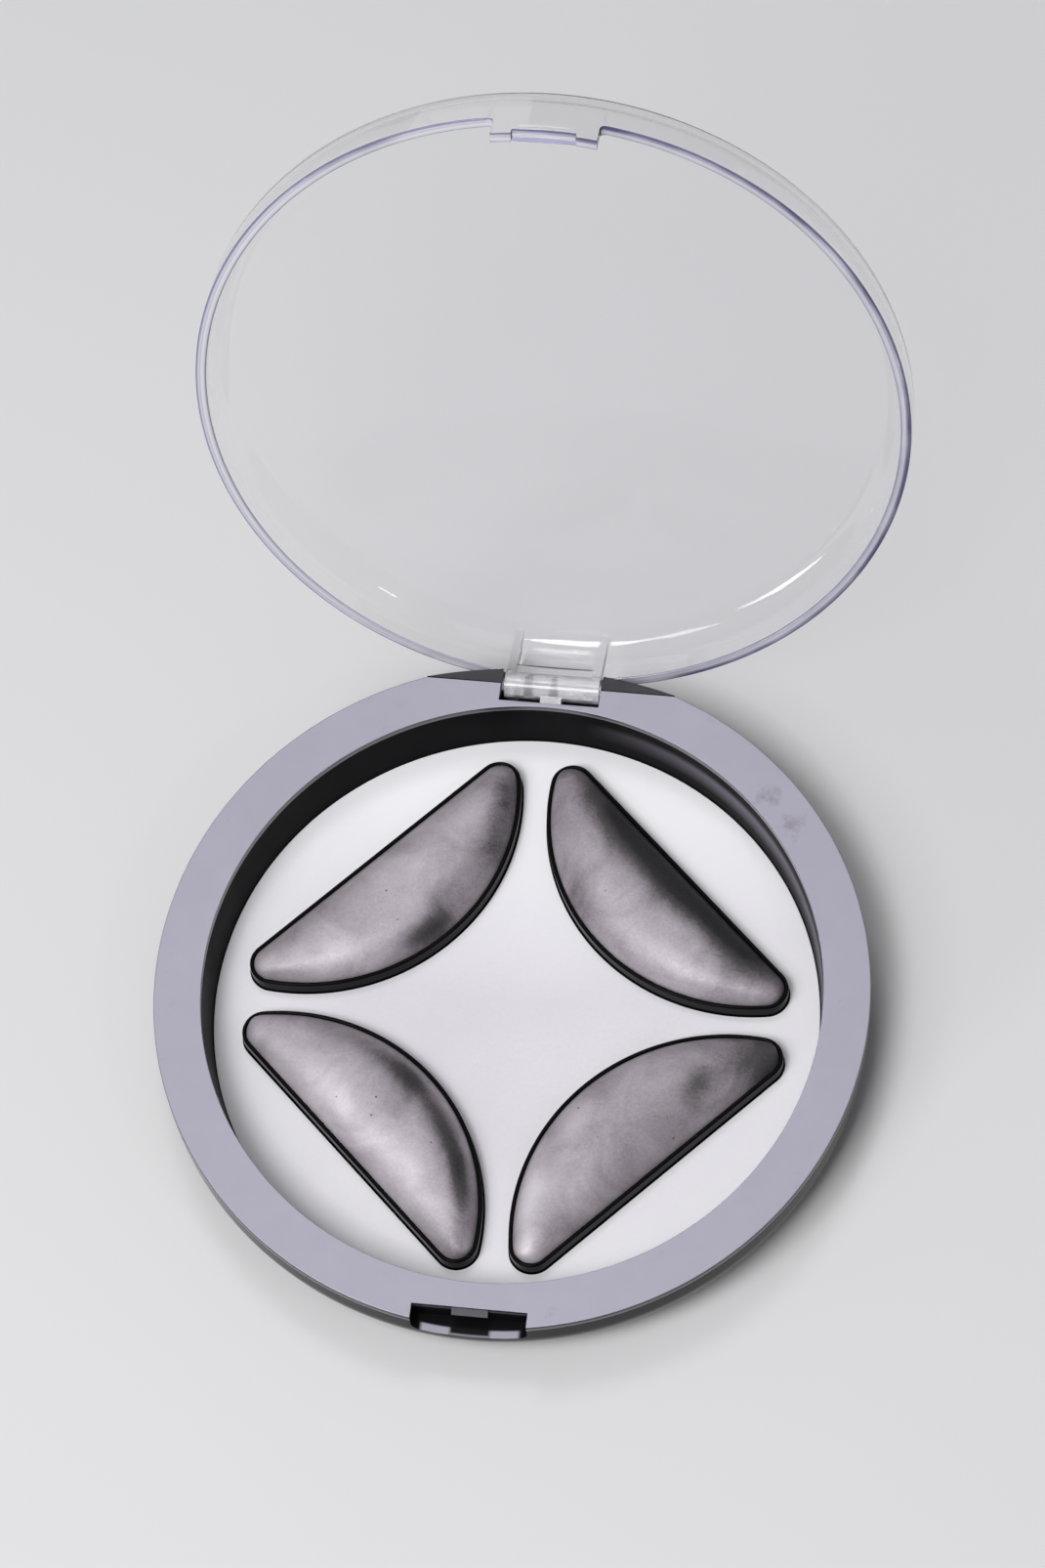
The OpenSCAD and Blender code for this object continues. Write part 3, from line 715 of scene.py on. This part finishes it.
pearl = pearl_powder()
dome = dome_points()
for where, angle in places.items():
    work = bmesh.new()
    grid = [[work.verts.new(p) for p in set_in_place(row, angle)] for row in dome]
    ends = [work.verts.new(p) for p in set_in_place([(pan_tip_r, -cake_half, powder_edge),
                                                     (pan_tip_r, cake_half, powder_edge)], angle)]
    for near, far in zip(grid, grid[1:]):
        for j in range(ACROSS):
            work.faces.new((near[j], near[j + 1], far[j + 1], far[j]))
    for tip, row in zip(ends, (grid[0], grid[-1])):
        for j in range(ACROSS):
            work.faces.new((tip, row[j], row[j + 1]))
    outline = ([ends[0]] + [row[0] for row in grid] + [ends[1]] + [row[-1] for row in grid[::-1]])
    under = [work.verts.new((v.co.x, v.co.y, powder_low)) for v in outline]
    for k in range(len(outline)):
        n = (k + 1) % len(outline)
        work.faces.new((outline[k], outline[n], under[n], under[k]))
    work.faces.new(under)
    bmesh.ops.recalc_face_normals(work, faces=work.faces)
    cake = from_work("cake_" + where, work)
    cake.data.materials.append(pearl)
    soften(cake, 0, crease=50)
    # Painted shade and highlights, stored on each point of the cake.
    depth = cake.data.attributes.new("painted_shading", "FLOAT", "POINT")
    depth.data.foreach_set("value", [painted_shading_at(where, v.co) for v in cake.data.vertices])
    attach(cake, "base")
    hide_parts("powder_" + where)

# ---------------------------------------------------------------------------------------------
# GLUE PADS. Thin double-sided pads of acrylic adhesive on a tissue, which hold the pans to the
# floor of the well. They are out of sight once the compact is filled.
# ---------------------------------------------------------------------------------------------
def pad_adhesive():
    """Acrylic adhesive on a tissue carrier, which makes it a cloudy cream."""
    material, tree, shader, spot = new_material("acrylic adhesive tissue", Roughness=0.6)
    tissue = add_node(tree, "ShaderNodeTexNoise", {"Vector": spot}, Scale=1 / (0.8 * MM),
                      Detail=4.0)
    tone = add_node(tree, "ShaderNodeMix", {"Factor": tissue}, data_type="RGBA", A="#D8D2C0",
                    B="#EAE6D8")
    wire(shader, {"Base Color": tone})
    return material


adhesive = pad_adhesive()
for where in places:
    pad = frame["nodes"]["glue_pad_" + where]
    pad.data.materials.clear()
    pad.data.materials.append(adhesive)

# ---------------------------------------------------------------------------------------------
# LID. One clear moulding in polystyrene; its rim edge is painted lilac, as painted light for the
# tint that gathers in the edge. At the front it carries the latch tab and bead, and at the rear a
# tongue between two ribs, with the barrel and the trunnions that snap into the base. It stands open
# at its stop.
# ---------------------------------------------------------------------------------------------
open_angle = math.radians(hinge_joint["range_deg"][1])
lid_r, lid_wall, lid_top = 39.8 * MM, 1.2 * MM, 1.2 * MM
lid_gap, lid_h = 0.2 * MM, 7.0 * MM
rim_z = base_top + lid_gap
lid_high = rim_z + lid_h
outer_round, inner_round, rim_edge = 3.6 * MM, 2.4 * MM, 0.2 * MM
tongue_half = notch_w / 2 - 0.3 * MM
barrel_r = 1.5 * MM


def let_lamps_through(tree, shader):
    """Lets the lamps shine through the clear moulding, which casts next to no shadow."""
    ray = add_node(tree, "ShaderNodeLightPath")
    lamps = add_node(tree, "ShaderNodeMath",
                     {0: ray.outputs["Is Shadow Ray"], 1: ray.outputs["Is Diffuse Ray"]},
                     operation="MAXIMUM")
    open_side = add_node(tree, "ShaderNodeBsdfTransparent", Color="#FCFCFD")
    both = add_node(tree, "ShaderNodeMixShader", {0: lamps, 1: shader, 2: open_side})
    wire(tree.nodes["Material Output"], {"Surface": both})


def clear_styrene(name, mirror):
    """Clear polystyrene from a polished mould: colourless, with a trace of haze. mirror tints
    its reflection, which is kept faint on the broad flat roof and brighter on the walls."""
    material, tree, shader, spot = new_material(
        name, IOR=1.5, Specular_Tint=mirror, Transmission_Weight=1.0, Base_Color="#FBFBFC")
    haze = add_node(tree, "ShaderNodeTexNoise", {"Vector": spot}, Scale=1 / (8 * MM), Detail=5.0)
    rough = add_node(tree, "ShaderNodeMapRange", {"Value": haze}, From_Min=0.4, From_Max=0.8,
                     To_Min=0.0, To_Max=0.05)
    wire(shader, {"Roughness": rough})
    let_lamps_through(tree, shader)
    return material


def lilac_rim():
    """The lid's rim, painted with the light that runs through the moulding and comes out there: a
    pale lilac band between two deeper lines, which deepen towards the right."""
    material, tree, shader, spot = new_material(
        "clear polystyrene seen through its edge", IOR=1.5, Transmission_Weight=0.35,
        Roughness=0.15)
    across = add_node(tree, "ShaderNodeAttribute", attribute_name="across").outputs["Fac"]
    lines = add_node(tree, "ShaderNodeValToRGB", {"Fac": across},
                     ((0.0, "#8681AE"), (0.16, "#A9A6CC"), (0.28, "#F2F1F8"), (0.42, "#D2D0E6"),
                      (0.55, "#FBFAFD"), (0.8, "#E6E5F0"), (0.9, "#C2BFDA"), (1.0, "#B0ADCD")))
    drift = add_node(tree, "ShaderNodeTexNoise", {"Vector": spot}, Scale=1 / (11 * MM), Detail=3.0)
    apart = add_node(tree, "ShaderNodeSeparateXYZ", {"Vector": spot})
    side = add_node(tree, "ShaderNodeMapRange", {"Value": apart.outputs["X"]}, From_Min=-lid_r,
                    From_Max=lid_r, To_Min=-0.12, To_Max=0.14)
    deep = add_node(tree, "ShaderNodeMath", {0: drift, 1: side}, operation="ADD")
    spread = add_node(tree, "ShaderNodeMapRange", {"Value": deep}, From_Min=0.40, From_Max=0.72)
    outer = add_node(tree, "ShaderNodeMapRange", {"Value": across}, From_Min=0.28, From_Max=0.50,
                     To_Min=1.0, To_Max=0.28)
    darkened = add_node(tree, "ShaderNodeMath", {0: spread, 1: outer}, operation="MULTIPLY")
    tone = add_node(tree, "ShaderNodeMix", {"Factor": darkened, "A": lines}, data_type="RGBA",
                    B="#5B5984")
    wire(shader, {"Base Color": tone})
    let_lamps_through(tree, shader)
    return material


def frosted_hinge():
    """The hinge barrel and its tongue: the same clear polystyrene with a milky skin."""
    material, tree, shader, spot = new_material(
        "clear polystyrene with a frosted skin", IOR=1.5, Transmission_Weight=0.72)
    frost = add_node(tree, "ShaderNodeTexNoise", {"Vector": spot}, Scale=1 / (1.5 * MM), Detail=2.0)
    rough = add_node(tree, "ShaderNodeMapRange", {"Value": frost}, From_Min=0.3, From_Max=0.7,
                     To_Min=0.14, To_Max=0.26)
    tone = add_node(tree, "ShaderNodeMix", {"Factor": frost}, data_type="RGBA", A="#E4E4EA",
                    B="#F4F4F8")
    wire(shader, {"Base Color": tone, "Roughness": rough})
    let_lamps_through(tree, shader)
    return material


def shut_to_open(piece):
    """Turns a piece that was shaped on the shut lid back to the open stop."""
    back = Matrix.Translation((0, hinge_y, hinge_z))
    piece.data.transform(back @ Matrix.Rotation(-open_angle, 4, "X") @ back.inverted())


clear_plastic = clear_styrene("clear polystyrene", "#BEBEC2")
roof_and_corner = ([(0, lid_high)]
                   + arc((lid_r - outer_round, lid_high - outer_round), outer_round, 90, 0, 16))
lid = turned("lid_moulding",
             roof_and_corner
             + arc((lid_r - rim_edge, rim_z + rim_edge), rim_edge, 0, -90, 3)
             + arc((lid_r - lid_wall + rim_edge, rim_z + rim_edge), rim_edge, -90, -180, 3)
             + arc((lid_r - lid_wall - inner_round, lid_high - lid_top - inner_round),
                   inner_round, 0, 90, 12)
             + [(0, lid_high - lid_top)], clear_plastic, closed=False)

# The tab carries the lid's wall down past the rim: two legs with a bar between them, led into the
# rim by a small rounding on each side. The bead on the bar snaps under the catch.
tab_half, tab_round, leg_w, leg_h = 5.75 * MM, 0.5 * MM, 2.3 * MM, 2.8 * MM
bar_h, bead_h, bead_lap, tab_sunk = 2.1 * MM, 0.45 * MM, 0.25 * MM, 0.4 * MM
gap_half, bead_y = tab_half - leg_w, latch_y + catch_face - bead_lap
tab_outline = (arc((-tab_half - tab_round, rim_z - tab_round), tab_round, 90, 0, 8)
               + [(-tab_half, rim_z - leg_h), (-gap_half, rim_z - leg_h),
                  (-gap_half, rim_z - bar_h), (gap_half, rim_z - bar_h),
                  (gap_half, rim_z - leg_h), (tab_half, rim_z - leg_h)]
               + arc((tab_half + tab_round, rim_z - tab_round), tab_round, 180, 90, 8)
               + [(tab_half + tab_round, rim_z + tab_sunk),
                  (-tab_half - tab_round, rim_z + tab_sunk)])
tab = prism("tab", tab_outline, latch_y, base_r * 1.1, turn=front)
wall_ring = turned("wall_ring", [(lid_r - lid_wall, rim_z - 2 * leg_h), (lid_r, rim_z - 2 * leg_h),
                                 (lid_r, rim_z + leg_h), (lid_r - lid_wall, rim_z + leg_h)],
                   clear_plastic)
join_solids(tab, [wall_ring], "INTERSECT")
soften(tab, 0.1 * MM)
bead = block("bead", (-gap_half, lid_wall / 2 - lid_r, rim_z - bar_h),
             (gap_half, -bead_y, rim_z - bar_h + bead_h), 0.08 * MM)

# The tongue runs from the wall back to the barrel, between two ribs that stiffen it. They end a
# hair's breadth inside the lid's own outer form, so that no two faces lie in one plane.
wall_in, cheek_in, rib_t = lid_r - 1.5 * lid_wall, hinge_y - barrel_r, 1.0 * MM
tongue = block("tongue", (-tongue_half, wall_in, hinge_z),
               (tongue_half, base_r, rim_z + lid_wall), 0.1 * MM)
ribs = [block("rib", (left, cheek_in, hinge_z), (right, base_r, lid_high - lid_top / 2), 0.12 * MM)
        for left, right in ((tongue_half - rib_t, tongue_half),
                            (-tongue_half, rib_t - tongue_half))]
below, shrink = hinge_z - 1 * MM, 0.999
for reaching in (tongue, *ribs):
    full_lid = turned("full_lid", roof_and_corner + [(lid_r, below), (0, below)], clear_plastic,
                      closed=False)
    full_lid.data.transform(Matrix.Diagonal((shrink, shrink, 1, 1)))
    join_solids(reaching, [full_lid], "INTERSECT")

# The nib in the middle of the barrel rubs on the wall of the notch as the lid comes open.
nib_half, nib_reach, nib_t = 1.2 * MM, 2.8 * MM, 1.2 * MM
nib_outline = (arc((-nib_reach + nib_t / 2, 0), nib_t / 2, 90, 270, 10)
               + [(0, -nib_t / 2), (0, nib_t / 2)])
nib = prism("nib", nib_outline, -nib_half, nib_half,
            turn=Matrix.Translation((0, hinge_y, hinge_z))
            @ Matrix.Rotation(open_angle, 4, "X") @ aside)
trunnion_r, trunnion_reach = 0.75 * MM, 1.6 * MM
join_solids(lid, [tab, bead, tongue, *ribs, hinge_rod("barrel", barrel_r, tongue_half),
                  hinge_rod("trunnions", trunnion_r, tongue_half + trunnion_reach), nib], "UNION")
soften(lid, 0)
lid.data.materials.clear()
for finish in (clear_plastic, lilac_rim(),
               clear_styrene("clear polystyrene roof", "#3C3C3E"), frosted_hinge()):
    lid.data.materials.append(finish)
hinge_half = tongue_half + 2 * MM
for face in lid.data.polygons:
    x, y, z = face.center
    in_tongue = y > 0 and abs(x) < hinge_half
    cut_edge = face.normal.z < -0.6 and z < rim_z + rim_edge and not in_tongue
    on_roof = abs(face.normal.z) > 0.999 and z > lid_high - 1.1 * lid_top
    on_barrel = in_tongue and z < rim_z
    face.material_index = 1 if cut_edge else 2 if on_roof else 3 if on_barrel else 0
across = lid.data.attributes.new("across", "FLOAT", "POINT")
across.data.foreach_set("value", [(lid_r - math.hypot(v.co.x, v.co.y)) / lid_wall
                                  for v in lid.data.vertices])
shut_to_open(lid)
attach(lid, "lid")
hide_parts("lid")

# ---------------------------------------------------------------------------------------------
# STUDIO. A pale sweep of paper under the compact. A large softbox high in front lights it, a
# second stands high behind, the two windows put the soft streaks in the clear lid, and a wide
# ceiling and a weak pale room fill the shadows.
# ---------------------------------------------------------------------------------------------
def pale_paper():
    """Seamless background paper: matt light grey, with its own light and shadow near the
    compact. Seen directly, the far part beyond the lamps' reach stays the same pale grey."""
    material, tree, shader, spot = new_material(
        "pale seamless paper", Base_Color="#D9D9DA", Roughness=0.9, Specular_IOR_Level=0.1)
    reach = add_node(tree, "ShaderNodeVectorMath", {0: spot}, operation="LENGTH")
    far = add_node(tree, "ShaderNodeMapRange", {"Value": reach}, From_Min=0.30, From_Max=0.95)
    path = add_node(tree, "ShaderNodeLightPath")
    seen = add_node(tree, "ShaderNodeMath",
                    {0: path.outputs["Is Camera Ray"], 1: path.outputs["Is Transmission Ray"]},
                    operation="MAXIMUM")
    fade = add_node(tree, "ShaderNodeMath", {0: far, 1: seen}, operation="MULTIPLY")
    glow = add_node(tree, "ShaderNodeEmission", Color="#D6D6D8")
    mixed = add_node(tree, "ShaderNodeMixShader", {0: fade, 1: shader, 2: glow})
    wire(tree.nodes["Material Output"], {"Surface": mixed})
    return material


sheet = bmesh.new()
bmesh.ops.create_grid(sheet, x_segments=1, y_segments=1, size=2.5)
paper = from_work("paper_floor", sheet)
paper.data.materials.append(pale_paper())

room = bpy.data.worlds.new("pale room")
room.use_nodes = True
bpy.context.scene.world = room
light = room.node_tree.nodes["Background"]
path = add_node(room.node_tree, "ShaderNodeLightPath")
level = add_node(room.node_tree, "ShaderNodeMapRange", {"Value": path.outputs["Is Camera Ray"]},
                 To_Min=0.15, To_Max=0.82)
set_up(light, {"Color": "#E9E9EE"})
wire(light, {"Strength": level})
middle = Vector((0, 0, base_top))


def softbox(name, spot, width, height, radiance):
    """A flat lamp of an even radiance that faces the middle of the deck."""
    lamp = bpy.data.lights.new(name, "AREA")
    lamp.shape = "RECTANGLE"
    lamp.size, lamp.size_y = width, height
    lamp.energy = radiance * math.pi * width * height
    made = new_object(name, lamp)
    made.location = spot
    made.rotation_euler = (middle - Vector(spot)).to_track_quat("-Z", "Y").to_euler()


softbox("front_softbox", middle + 0.9 * Vector((-0.20, -0.38, 0.90)), 0.35, 0.35, 13.6)
softbox("overhead_softbox", middle + 1.1 * Vector((-0.115, 0.345, 0.93)), 0.27, 0.27, 7.0)
softbox("ceiling", (0, 0, 1.5), 1.2, 1.2, 0.5)
softbox("rear_strip", 0.9 * Vector((-0.35, 0.92, 0.18)), 0.35, 0.20, 0.6)
softbox("low_window", 0.9 * Vector((-0.52, -0.82, 0.21)), 0.18, 0.18, 17.0)
softbox("left_window", 0.7 * Vector((-0.50, -0.47, 0.73)), 0.17, 0.17, 6.0)
softbox("right_spot", 0.7 * Vector((0.55, -0.35, 0.75)), 0.06, 0.06, 10.0)

# The camera stands high in front, a little to the right, and is turned a few degrees.
eye = Vector((83.293, -278.888, 682.041)) * MM + middle
right_way = Vector((0.99032, 0.11981, -0.07008))
up_way = Vector((-0.08040, 0.90672, 0.41401))
back_way = Vector((0.11315, -0.40437, 0.90757))
lens = bpy.data.cameras.new("studio camera")
lens.sensor_width = 36
lens.lens = 153.19
lens.clip_end = 10
camera = new_object("studio camera", lens)
turn = Matrix((right_way, up_way, back_way)).transposed().to_4x4()
camera.matrix_world = Matrix.Translation(eye) @ turn
bpy.context.scene.camera = camera
bpy.context.scene.view_settings.view_transform = "Standard"
